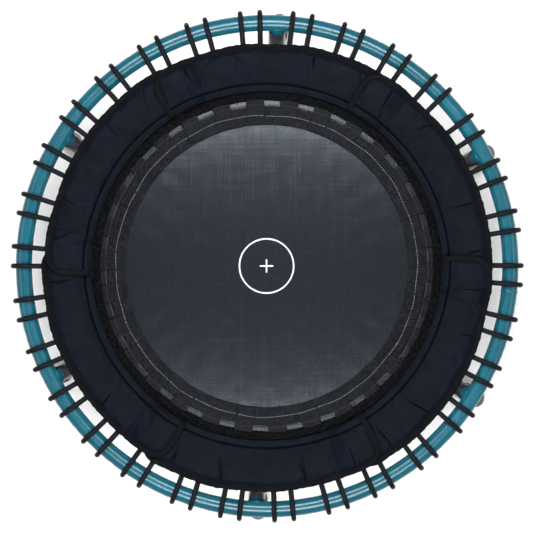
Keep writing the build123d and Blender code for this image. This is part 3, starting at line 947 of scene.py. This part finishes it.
def tab_path():
    """The tab's middle line in radius and height: over the border, round the bar, back under."""
    half = (TAB_TOP - BORDER_TOP) / 2
    corner = half + 0.0006
    over, under, end = TAB_TOP - half, TAB_BOTTOM + half, TAB_OUTER - half
    path = [(radius, over) for radius in np.linspace(TAB_INNER, end - corner, 16)]
    for turn in np.linspace(0, pi / 2, 6)[1:]:
        path.append((end - corner + corner * sin(turn), over - corner + corner * cos(turn)))
    for turn in np.linspace(0, pi / 2, 6):
        path.append((end - corner + corner * cos(turn), under + corner - corner * sin(turn)))
    path += [(radius, under) for radius in np.linspace(end - corner, TAB_INNER, 16)[1:]]
    return np.array(path), half


def make_tabs(number, material):
    """Five tabs of flat webbing, each folded round a clip's bar and sewn to the border."""
    path, half = tab_path()
    ahead = np.gradient(path, axis=0)
    ahead /= np.linalg.norm(ahead, axis=1)[:, None]
    normal = np.stack([-ahead[:, 1], ahead[:, 0]], axis=1)
    wide = TAB_WIDTH / 2
    edge = [(wide - half + half * 0.9 * cos(t), half * sin(t)) for t in np.linspace(-pi / 2, pi / 2, 7)]
    flat_top = [(across, half) for across in np.linspace(wide - 0.004, -wide + 0.004, 7)]
    section = edge + flat_top + [(-x, -y) for x, y in edge]
    section += [(-x, -y) for x, y in flat_top]
    parts = []
    for index in range(5 * number - 5, 5 * number):
        azimuth = radians(CORD_AZIMUTHS[index]) + rng.normal(0, 0.0012)
        skew = rng.normal(0, 0.006)
        rings = []
        for (radius, height), (out, up) in zip(path, normal):
            ring = []
            for across, rise in section:
                r = radius + rise * out
                sideways = across + skew * (r - TAB_OUTER)
                turn = azimuth + sideways / TAB_OUTER
                along = sideways * (1 - r / TAB_OUTER)
                x, y = r * cos(turn) - along * sin(turn), r * sin(turn) + along * cos(turn)
                z = height + rise * up
                if z > BED_TOP:
                    z += float(border_wave(np.arctan2(y, x))) * float(1 - smooth(r, 0.318, 0.332))
                ring.append((x, y, z))
            rings.append(ring)
        parts.append(np.array(rings))
    points, faces = join_rings(parts)
    tabs = make_piece(f"tab_webbing_{number}", points, faces, material, sharp=50)
    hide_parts("mat_tabs")
    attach(tabs, "mat")


def over_tab(turn):
    """1 where a tab lies at an azimuth in radians, and 0 between tabs."""
    pitch = 2 * pi / len(CORD_AZIMUTHS)
    off = (turn - radians(CORD_AZIMUTHS[0]) + pitch / 2) % pitch - pitch / 2
    return np.abs(off) * BORDER_OUTER < TAB_WIDTH / 2


def stitch_rings(place, ahead, up, length, width, rise):
    """One stitch: a short rounded thread that dips into the cloth at both ends."""
    side = np.cross(ahead, up)
    rings = []
    for share, swell in ((-1.0, 0.35), (-0.8, 0.8), (-0.35, 1.0), (0.35, 1.0), (0.8, 0.8), (1.0, 0.35)):
        middle = place + ahead * share * length / 2 + up * (rise * (1 - share * share) - 0.0002)
        size = width / 2 * swell
        rings.append([middle + size * (cos(t) * side + 0.75 * sin(t) * up) for t in HEXAGON])
    return np.array(rings)


def stitch_line(name, radius_at, height_at, material, pitch, width, keep):
    """A ring of stitches round the mat, where keep(azimuth) allows one."""
    reach = float(radius_at(0.0))
    count = int(2 * pi * reach / pitch)
    parts = []
    for index in range(count):
        turn = 2 * pi * index / count
        if not keep(turn):
            continue
        radius = float(radius_at(turn))
        outward, along = directions(turn)
        place = radius * outward + float(height_at(turn)) * UP
        ahead = along + outward * rng.normal(0, 0.10)
        ahead /= np.linalg.norm(ahead)
        length = pitch * rng.uniform(0.48, 0.62)
        parts.append(stitch_rings(place, ahead, UP, length, width * rng.uniform(0.85, 1.1), 0.0004))
    points, faces = join_rings(parts)
    line = make_piece(name, points, faces, material, sharp=70)
    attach(line, "mat")
    return line


def make_mat_stitching():
    white = thread("thread_white", (0.16, 0.16, 0.17), (0.45, 0.45, 0.46))
    hoop_thread = thread("thread_dark", (0.010, 0.009, 0.009), (0.045, 0.041, 0.038))
    grey = thread("thread_grey", (0.020, 0.020, 0.021), (0.085, 0.083, 0.082))
    drift = loose((2 * pi / 5, 2 * pi / 11, 2 * pi / 23), rng)
    middle = (BORDER_INNER + BORDER_OUTER) / 2

    def first_line(turn):
        return middle + 0.0007 + 0.0011 * drift(turn)

    def second_line(turn):
        return EDGE_OUTER - 0.0010 + 0.0006 * drift(turn + 1.3)

    def on_webbing(turn):
        layer = TAB_TOP if over_tab(turn) else BORDER_TOP
        return layer + border_wave(turn)

    stitch_line("mat_stitching", first_line, on_webbing, white, 0.0050, 0.0013, lambda turn: True)
    stitch_line("tab_stitching", second_line, on_webbing, grey, 0.0046, 0.0012, over_tab)
    stitch_line("inner_stitching", lambda turn: BORDER_INNER + 0.0035 + 0.0003 * drift(turn),
                lambda turn: BORDER_TOP + border_wave(turn), hoop_thread, 0.0042, 0.0007,
                lambda turn: not over_tab(turn))
    # A ring of thread lighter than the hoop's webbing along its outer edge: stitching that also paints the
    # highlight along that edge.
    stitch_line("hoop_edge_highlight_stitching", lambda turn: HOOP_OUTER - 0.0022 + 0.0004 * drift(turn),
                lambda turn: HOOP_TOP + border_wave(turn), hoop_thread, 0.0048, 0.0012, lambda turn: True)

    # Overlocked thread along the bed's raw edge: a bead that swells at each stitch
    count = 2000
    turn = whole_turn(count)
    beads = 1 + 0.28 * np.sin(turn * 500)
    reach = (EDGE_INNER + EDGE_OUTER) / 2 + 0.0004 * drift(turn)
    height = (BED_TOP + BED_BOTTOM) / 2
    loop = []
    for t in whole_turn(8):
        size = 0.0010 * beads
        loop.append(polar(reach + size * cos(t), turn, height + 1.25 * size * sin(t)))
    points, faces = join_rings([np.stack(loop, axis=1)], closed_path=True)
    edge = make_piece("mat_edge_thread", points, faces, grey, sharp=80)
    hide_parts("mat_edge_binding")
    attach(edge, "mat")


# ---------------------------------------------------------------- padded skirt
def pad_lift(offset):
    """How far a section stands up from the cords, at an azimuth from its middle."""
    return PAD_LIFT * smooth(offset, *PAD_RISE)


def pad_floor(radius, offset):
    """Height of a section's underside. Its inner roll droops towards the hoop."""
    droop = 0.0038 * (1 - smooth(radius, PAD_INNER, SEAM_RADIUS + 0.004))
    return upper_height(radius) + CORD_RADIUS / cos(UPPER_SLOPE) + 0.0022 + pad_lift(offset) - droop


def choose_darts(seeded):
    """Each dart's place, lean and inner end, and whether it is a pair of creases."""
    darts = []
    for dart in DARTS:
        place = dart + seeded.normal(0, 0.5)
        lean = seeded.normal(0, 1.0) - 0.02 * dart
        stop = seeded.uniform(0.376, 0.403)
        darts.append((place, lean, stop, seeded.uniform() < 0.4))
    return darts


class Section:
    """The outline of one skirt section, which differs a little from its neighbours."""

    def __init__(self, number):
        self.number = number
        self.middle = radians(PAD_AZIMUTHS[number - 1])
        self.reach = PAD_EDGE + PAD_DRIFT * cos(self.middle - PAD_DRIFT_AZIMUTH)
        self.drift = loose((0.31, 0.17, 0.12), rng)
        self.ripple = loose((0.031, 0.019, 0.013), rng)
        self.fine = loose((0.011, 0.0073), rng)
        self.sag = loose((0.083, 0.057), rng)
        self.dart_start = self.reach - 0.010
        self.darts = choose_darts(np.random.default_rng(60 + number))

    def outer(self, offset):
        """Radius of the outer edge: gently scalloped, and even near the corners."""
        arc = radians(1) * offset * PAD_EDGE
        calm = 1 - smooth(np.abs(offset), 24.0, 29.0)
        edge = self.reach - EDGE_TILT * offset / PAD_HALF_ANGLE
        return edge + 0.0011 * calm * self.drift(arc) + 0.0005 * calm * self.ripple(arc)

    def corner(self, side):
        """Radius of the outer edge where a corner's rounding starts."""
        return self.reach - 0.87 * EDGE_TILT * side

    def inner(self, offset):
        return PAD_INNER + 0.0010 + 0.0028 * (offset / PAD_HALF_ANGLE)**2

    def seam(self, offset):
        return SEAM_RADIUS + 0.0015 * (offset / PAD_HALF_ANGLE)**2

    def end(self, radius, side):
        """Azimuth of an end from the middle, before its outer corner is rounded."""
        share = (self.corner(side) - radius) / (self.corner(side) - PAD_INNER)
        bow = 0.5 * np.sin(pi * np.clip(share, 0, 1))
        return side * (PAD_END + bow + (1.2 * share if side > 0 else 0.2 * share))

    def rounded_end(self, radius, side):
        """Azimuth of an end, with its outer corner rounded."""
        past = np.clip(radius - (self.corner(side) - PAD_CORNER), 0, PAD_CORNER)
        back = PAD_CORNER - np.sqrt(PAD_CORNER**2 - past**2)
        return self.end(radius, side) - side * np.degrees(back / radius)

    def to_end(self, radius, offset):
        """Degrees from a place to the nearer end."""
        return np.minimum(self.rounded_end(radius, 1) - offset, offset - self.rounded_end(radius, -1))

    def bound_end(self, side):
        """Radius and offset along an end, from its inner corner out round the outer one."""
        run = self.corner(side) - PAD_CORNER
        straight = np.linspace(self.inner(PAD_HALF_ANGLE), run, 20)
        path = [(radius, self.end(radius, side)) for radius in straight]
        for turn in np.linspace(0, pi / 2, 16)[1:]:
            radius = run + PAD_CORNER * sin(turn)
            back = PAD_CORNER * (1 - cos(turn))
            path.append((radius, self.end(radius, side) - side * degrees(back / radius)))
        return path

    def outline(self):
        """Radius and offset along the three bound sides, from one inner corner to the other."""
        first, last = self.bound_end(-1), self.bound_end(1)
        offsets = np.linspace(first[-1][1], last[-1][1], 150)[1:-1]
        outer = [(self.outer(offset), offset) for offset in offsets]
        return np.array(first + outer + last[::-1])


def pad_rows():
    """Places across a section, 0 at the inner edge and 1 at the outer one, and their role."""
    roll = [0.0, 0.012, 0.045, 0.085, 0.118, 0.138]
    body = [0.160, 0.176, 0.205, 0.245]
    body += list(np.linspace(0.285, 0.80, 13))
    edge = [0.84, 0.875, 0.905, 0.93, 0.952, 0.97, 0.985, 0.996]
    return np.array(roll + [SEAM_SHARE] + body + edge)


def pad_columns():
    """Places along a section, closer together at the ends and at the darts."""
    places = set(np.round(np.linspace(-1, 1, 109), 4))
    for dart in DARTS:
        for off in (-0.6, -0.35, -0.16, 0.0, 0.16, 0.35, 0.6):
            places.add(round((dart + off) / PAD_HALF_ANGLE, 4))
    places |= {-0.994, -0.985, 0.985, 0.994}
    places = sorted(places)
    kept = [places[0]]
    for place in places[1:]:
        if place - kept[-1] > 0.0028:
            kept.append(place)
    kept[-1] = 1.0
    return np.array(kept)


def pad_thickness(section, radius, offset):
    """How thick a section is before it is filled."""
    from_seam = radius - section.seam(offset)
    from_edge = section.outer(offset) - radius
    arc = radians(1) * radius
    near_end = section.to_end(radius, offset) * arc
    near = np.minimum(np.minimum(np.maximum(from_seam, 0), from_edge), near_end)
    full = 0.0036 + 0.0032 * np.sqrt(np.clip(1 - (1 - np.clip(near / 0.020, 0, 1))**2, 0, 1))
    in_roll = np.clip((radius - section.inner(offset)) / (section.seam(offset) - section.inner(offset)), 0, 1)
    roll = 0.0026 + 0.0024 * np.sin(pi * in_roll)
    at_end = smooth(near_end, 0.0, 0.010)
    roll = roll * (0.75 + 0.25 * at_end)
    return np.where(from_seam < 0, roll, full)


def make_pad_shell(section, material):
    """A section's closed cover: a grid above and one below, joined round the rim."""
    rows, columns = pad_rows(), pad_columns()
    radius = np.empty((len(rows), len(columns)))
    offset = np.empty_like(radius)
    for i, share in enumerate(rows):
        guess = columns * PAD_HALF_ANGLE
        for _ in range(4):
            inner, seam, outer = section.inner(guess), section.seam(guess), section.outer(guess) - 0.0006
            r = np.where(share <= SEAM_SHARE, inner + (seam - inner) * share / SEAM_SHARE,
                         seam + (outer - seam) * (share - SEAM_SHARE) / (1 - SEAM_SHARE))
            low, high = section.rounded_end(r, -1), section.rounded_end(r, 1)
            guess = low + (high - low) * (columns + 1) / 2
        radius[i], offset[i] = r, guess
    thick = pad_thickness(section, radius, offset)
    floor = pad_floor(radius, offset)
    turn = section.middle + np.radians(offset)
    top = polar(radius, turn, floor + thick)
    bottom = polar(radius, turn, floor + np.minimum(0.25 * thick, 0.0006))
    points = np.concatenate([top.reshape(-1, 3), bottom.reshape(-1, 3)])
    high, wide = radius.shape
    below = high * wide
    faces = []
    for i in range(high - 1):
        for j in range(wide - 1):
            here = i * wide + j
            faces.append((here, here + 1, here + wide + 1, here + wide))
            faces.append((below + here + wide, below + here + wide + 1, below + here + 1, below + here))
    rim = [j for j in range(wide)] + [i * wide + wide - 1 for i in range(1, high)]
    rim += [(high - 1) * wide + j for j in range(wide - 2, -1, -1)]
    rim += [i * wide for i in range(high - 2, 0, -1)]
    for here, after in zip(rim, rim[1:] + rim[:1]):
        faces.append((here, after, below + after, below + here))
    pad = make_piece(f"skirt_pad_{section.number}", points, faces, material, sharp=180)

    grid = np.zeros((high, wide), bool)
    grid[0] = grid[rows >= 0.93] = True
    grid[np.abs(rows - SEAM_SHARE) < 1e-6] = True
    grid[:, :3] = grid[:, -3:] = True
    pinned = np.flatnonzero(np.concatenate([grid.ravel(), grid.ravel()]))
    pad.vertex_groups.new(name="seams").add(pinned.tolist(), 1.0, "REPLACE")
    return pad


CLOTH = {
    "quality": 4, "mass": 0.25,
    "tension_stiffness": 22, "compression_stiffness": 22, "shear_stiffness": 10, "bending_stiffness": 1.2,
    "use_pressure": True, "uniform_pressure_force": 4.0, "shrink_min": -0.022, "vertex_group_mass": "seams",
}
FILL_FRAMES = 20
FILL_CAP = 0.006


def fill_pads(pads):
    """Fills every section at once with Blender's cloth under pressure, then caps the motion."""
    starts = [coordinates(pad.data) for pad in pads]
    for pad in pads:
        cloth = pad.modifiers.new("filling", "CLOTH")
        for key, value in CLOTH.items():
            setattr(cloth.settings, key, value)
        cloth.settings.effector_weights.gravity = 0
        cloth.collision_settings.use_collision = False
        cloth.point_cache.frame_end = FILL_FRAMES
    for step in range(1, FILL_FRAMES + 1):
        scene.frame_set(step)
    graph = bpy.context.evaluated_depsgraph_get()
    filled = []
    for pad, start in zip(pads, starts):
        moved = coordinates(pad.evaluated_get(graph).data) - start
        length = np.linalg.norm(moved, axis=1, keepdims=True)
        moved *= FILL_CAP * np.tanh(length / FILL_CAP) / np.maximum(length, 1e-9)
        moved[:, 2] = np.maximum(moved[:, 2], -0.0008)
        filled.append(start + moved)
    scene.frame_set(1)
    for pad, points in zip(pads, filled):
        pad.modifiers.clear()
        move_points(pad.data, points)


def refine(pad):
    """One applied subdivision."""
    pad.modifiers.new("subdivision", "SUBSURF").levels = 1
    graph = bpy.context.evaluated_depsgraph_get()
    smoother = bpy.data.meshes.new_from_object(pad.evaluated_get(graph))
    pad.modifiers.clear()
    pad.vertex_groups.clear()
    pad.data = smoother
    pad.data.shade_smooth()


def dart_line(place, lean, run):
    """Offset of a dart from the section's middle, as it runs in from the outer edge."""
    return place + lean * np.clip(run, 0, 1.4) + 0.25 * np.sin(5 * run)


def dart_relief(section, radius, offset):
    """Pinched darts: sewn creases that run in from the outer edge and fade."""
    relief = np.zeros_like(radius)
    for place, lean, stop, paired in section.darts:
        run = (section.dart_start - radius) / (section.dart_start - stop)
        across = np.radians(offset - dart_line(place, lean, run)) * radius
        strength = smooth(-run, -1.0, -0.35) * smooth(run, -0.08, 0.04)
        crease = -0.0034 * np.exp(-(across / 0.0014)**2)
        if paired:
            crease = -0.0028 * np.exp(-((np.abs(across) - 0.0023) / 0.0012)**2)
        swell = 0.0010 * np.exp(-((np.abs(across) - 0.0068) / 0.0045)**2)
        relief += strength * (crease + swell)
    return relief


def sew_pad(pad, section):
    """Adds what is sewn after the filling: the inner seam, the darts and small puckers."""
    points = coordinates(pad.data)
    radius = np.hypot(points[:, 0], points[:, 1])
    turn = np.arctan2(points[:, 1], points[:, 0]) - section.middle
    offset = np.degrees((turn + pi) % (2 * pi) - pi)
    floor = pad_floor(radius, offset)
    thick = pad_thickness(section, radius, offset)
    above = smooth(points[:, 2] - floor, 0.35 * thick, 0.75 * thick)
    arc = np.radians(offset) * radius
    from_edge = section.outer(offset) - radius
    from_seam = radius - section.seam(offset)

    relief = dart_relief(section, radius, offset)
    relief -= 0.0036 * np.exp(-(from_seam / 0.0013)**2)
    relief += 0.00045 * section.ripple(arc + 0.7 * radius) * np.exp(-((from_edge - 0.010) / 0.016)**2)
    relief += 0.00035 * section.ripple(arc * 1.3) * np.exp(-((from_seam - 0.003) / 0.007)**2)
    relief += 0.0006 * section.sag(arc) * section.sag(radius * 1.7 + 0.2)
    relief += 0.0003 * section.fine(arc) * np.exp(-((from_seam + 0.006) / 0.006)**2)
    points[:, 2] += above * relief
    bound = np.minimum(from_edge, np.radians(section.to_end(radius, offset)) * radius)
    ceiling = floor + 0.0040 + 0.0070 * smooth(bound, 0.0085, 0.0230)
    points[:, 2] = np.clip(points[:, 2], floor - 0.0006, ceiling)
    move_points(pad.data, points)


def make_binding(section, material):
    """The folded tape round a section's outer edge and both its ends."""
    path = section.outline()
    flat = polar(path[:, 0], np.radians(path[:, 1]), 0.0)[:, :2]
    ahead = np.gradient(flat, axis=0)
    ahead /= np.linalg.norm(ahead, axis=1)[:, None]
    inward = np.stack([-ahead[:, 1], ahead[:, 0]], axis=1)
    run = np.concatenate([[0], np.cumsum(np.linalg.norm(np.diff(flat, axis=0), axis=1))])
    middle = (flat * flat).sum(axis=1).argmax()
    if np.dot(inward[middle], flat[middle]) > 0:
        inward = -inward
    at_end = smooth(np.abs(path[:, 1]), 30.5, 32.8)
    seeded = np.random.default_rng(80 + section.number)
    pucker = loose((0.0141, 0.0097, 0.0063), seeded)
    sway = loose((0.071, 0.043), seeded)
    section_points = [
        (10.0, 5.1), (9.6, 5.9), (8.6, 6.0), (7.9, 5.45), (7.2, 5.9), (5.0, 6.1), (2.8, 5.7), (1.2, 4.9),
        (0.3, 3.8), (0.0, 2.7), (0.35, 1.5), (1.3, 0.7), (3.0, 0.25), (6.0, 0.1), (9.4, 0.1), (10.0, 0.7),
    ]
    loop = []
    for reach, rise in section_points:
        wide = (reach / 1000) * (1 + 0.22 * at_end) + (reach / 10) * 0.0004 * sway(run)
        place = flat + inward * wide[:, None]
        radius = np.hypot(place[:, 0], place[:, 1])
        offset = np.degrees(np.arctan2(place[:, 1], place[:, 0]))
        top = rise / 6.0
        lump = 0.00022 * top * pucker(run + 0.0004 * reach)
        height = pad_floor(radius, offset) + rise / 1000 + lump - 0.0004
        loop.append(polar(radius, section.middle + np.radians(offset), height))
    rings = np.stack(loop, axis=1)
    points, faces = join_rings([rings])
    binding = make_piece(f"skirt_binding_{section.number}", points, faces, material, sharp=70)
    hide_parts(f"pad_binding_{section.number}")
    blend_over_cords(binding)


def thread_tube(path, surface, width):
    """Rings of a sewn thread laid along a path, level with the cloth under it; they make the skirt's dark
    thread lines, which paint the shade in its creases.
    """
    line = []
    for x, y in path:
        spot = surface.ray_cast(Vector((x, y, 1.0)), Vector((0, 0, -1)))[0]
        if spot is not None:
            line.append((x, y, spot.z + 0.0002))
    line = np.array(line)
    ahead = np.gradient(line, axis=0)
    ahead /= np.linalg.norm(ahead, axis=1)[:, None]
    side = np.cross(ahead, UP)
    side /= np.linalg.norm(side, axis=1)[:, None]
    size = width / 2 * np.clip(np.minimum(np.arange(len(line)), np.arange(len(line))[::-1]) / 3 + 0.3, 0, 1)
    rings = [line + size[:, None] * (cos(t) * side + 0.6 * sin(t) * UP) for t in HEXAGON]
    return np.stack(rings, axis=1)


def make_skirt_shade_lines(section, pad, material):
    """Near-black thread sunk in a section's inner seam, in its darts and beside its bound ends: stitching
    made dark to paint the shade in these creases and beside the ends.
    """
    surface = BVHTree.FromPolygons([point.co for point in pad.data.vertices],
                                   [tuple(face.vertices) for face in pad.data.polygons])
    parts = []
    first, last = (section.rounded_end(SEAM_RADIUS, side) for side in (-1, 1))
    offsets = np.linspace(first + 1.7, last - 1.8, 190)
    seam = polar(section.seam(offsets), section.middle + np.radians(offsets), 0.0)
    parts.append(thread_tube(seam[:, :2], surface, 0.0030))
    for place, lean, stop, _ in section.darts:
        run = np.linspace(0.05, 1.0, 26)
        radius = section.dart_start - run * (section.dart_start - stop)
        turn = section.middle + np.radians(dart_line(place, lean, run))
        parts.append(thread_tube(polar(radius, turn, 0.0)[:, :2], surface, 0.0015))
    for side in (-1, 1):
        run = np.linspace(section.inner(PAD_HALF_ANGLE) + 0.004, section.corner(side) - 0.6 * PAD_CORNER, 40)
        inset = np.degrees(0.0118 / run)
        turn = section.middle + np.radians(section.rounded_end(run, side) - side * inset)
        parts.append(thread_tube(polar(run, turn, 0.0)[:, :2], surface, 0.0016))
    points, faces = join_rings(parts)
    stitching = make_piece(f"skirt_shade_lines_{section.number}", points, faces, material, sharp=80)
    blend_over_cords(stitching)


def make_skirt():
    fabric, tape = skirt_fabric(), binding_tape()
    # Near-black thread for the seam, dart and end lines: stitching made dark to paint the shade of these
    # creases.
    shade_thread = thread("painted_shade_thread", (0.0002, 0.0002, 0.0002), (0.0012, 0.0011, 0.0011), specular=0.03)
    sections = [Section(number) for number in range(1, 7)]
    pads = [make_pad_shell(section, fabric) for section in sections]
    fill_pads(pads)
    for pad, section in zip(pads, sections):
        refine(pad)
        sew_pad(pad, section)
        make_skirt_shade_lines(section, pad, shade_thread)
        make_binding(section, tape)
        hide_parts(f"pad_cover_{section.number}", f"pad_foam_{section.number}")
        blend_over_cords(pad)


# ---------------------------------------------------------------- assembly
def finish_node(node, material):
    """Gives a CAD node its material."""
    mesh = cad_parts[node].data
    mesh.materials.clear()
    mesh.materials.append(material)


def dress_frame():
    enamel, lacquer, steel = teal_enamel(), leg_metal(), zinc()
    rubber, plastic = foot_rubber(), clip_plastic()
    finish_node("frame_ring", enamel)
    for number, azimuth in enumerate(LEG_AZIMUTHS, 1):
        finish_node(f"leg_stub_{number}", enamel)
        finish_node(f"leg_{number}", lacquer)
        make_boot(number, radians(azimuth), rubber)
    for node in ("leg_bolts", "leg_washers", "leg_nuts"):
        finish_node(node, steel)
    finish_node("cord_clips", plastic)
    make_ring_weld(enamel)
    make_stub_welds(enamel)


def make_mat():
    weave = mat_weave()
    make_bed(weave)
    # The rim is a sheet that paints the shade seen through the gaps between the tabs.
    make_shade_rim(weave)
    make_mat_webbing()
    tab_band = webbing("tab_webbing", (0.0003, 0.0003, 0.0005), (0.0125, 0.0130, 0.0165), 0.0022)
    for number in range(1, 7):
        make_tabs(number, tab_band)
    make_mat_stitching()


def make_cords():
    braid, elastic = cord_braid(), strap_elastic()
    centre_line = cord_centre_line()
    for index, azimuth in enumerate(CORD_AZIMUTHS):
        make_cord(index, radians(azimuth), centre_line, braid)
    for number in range(1, 7):
        make_straps(number, elastic)


make_camera()
make_studio()
dress_frame()
make_cords()
make_mat()
make_skirt()
